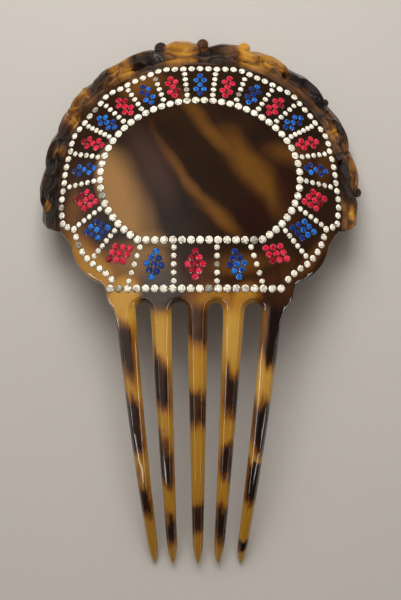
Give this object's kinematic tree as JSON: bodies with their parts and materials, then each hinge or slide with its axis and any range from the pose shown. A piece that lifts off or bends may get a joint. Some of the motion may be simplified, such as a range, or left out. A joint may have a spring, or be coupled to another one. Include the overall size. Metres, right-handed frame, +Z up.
{
  "type": "decorative hair comb",
  "caption": "Domed oval back comb of mottled tortoiseshell celluloid with long tapered teeth, a carved leaf border and inset clear, red and blue paste stones.",
  "frame": {"origin": "centre of the comb's bounding box, on the surface that the comb lies on", "axes": "+X to the right across the comb, seen with the head away from the viewer; +Y from the tooth tips to the crest; +Z up, out of the set face"},
  "size_m": [0.119, 0.1972, 0.0348],
  "materials": {
    "mottled_sheet": "polished, translucent amber mottled with dark brown",
    "carved_sheet": "carved and polished, amber mottled with dark brown",
    "clear_paste": "faceted, foil backed, slightly yellowed",
    "red_paste": "faceted, foil backed ruby red",
    "blue_paste": "faceted, foil backed sapphire blue"
  },
  "bodies": {
    "root": {"base_row_stones": "clear_paste", "comb_blank": "mottled_sheet", "divider_01_stones": "clear_paste", "divider_02_stones": "clear_paste", "divider_03_stones": "clear_paste", "divider_04_stones": "clear_paste", "divider_05_stones": "clear_paste", "divider_06_stones": "clear_paste", "divider_07_stones": "clear_paste", "divider_08_stones": "clear_paste", "divider_09_stones": "clear_paste", "divider_10_stones": "clear_paste", "divider_11_stones": "clear_paste", "divider_12_stones": "clear_paste", "divider_13_stones": "clear_paste", "divider_14_stones": "clear_paste", "divider_15_stones": "clear_paste", "divider_16_stones": "clear_paste", "divider_17_stones": "clear_paste", "divider_18_stones": "clear_paste", "divider_19_stones": "clear_paste", "divider_20_stones": "clear_paste", "divider_21_stones": "clear_paste", "divider_22_stones": "clear_paste", "edge_line_stones": "clear_paste", "inner_ring_stones": "clear_paste", "leaf_border": "carved_sheet", "ruby_cluster_01": "red_paste", "ruby_cluster_02": "red_paste", "ruby_cluster_03": "red_paste", "ruby_cluster_04": "red_paste", "ruby_cluster_05": "red_paste", "ruby_cluster_06": "red_paste", "ruby_cluster_07": "red_paste", "ruby_cluster_08": "red_paste", "ruby_cluster_09": "red_paste", "ruby_cluster_10": "red_paste", "ruby_cluster_11": "red_paste", "sapphire_cluster_01": "blue_paste", "sapphire_cluster_02": "blue_paste", "sapphire_cluster_03": "blue_paste", "sapphire_cluster_04": "blue_paste", "sapphire_cluster_05": "blue_paste", "sapphire_cluster_06": "blue_paste", "sapphire_cluster_07": "blue_paste", "sapphire_cluster_08": "blue_paste", "sapphire_cluster_09": "blue_paste", "sapphire_cluster_10": "blue_paste", "sapphire_cluster_11": "blue_paste"}
  },
  "joints": []
}
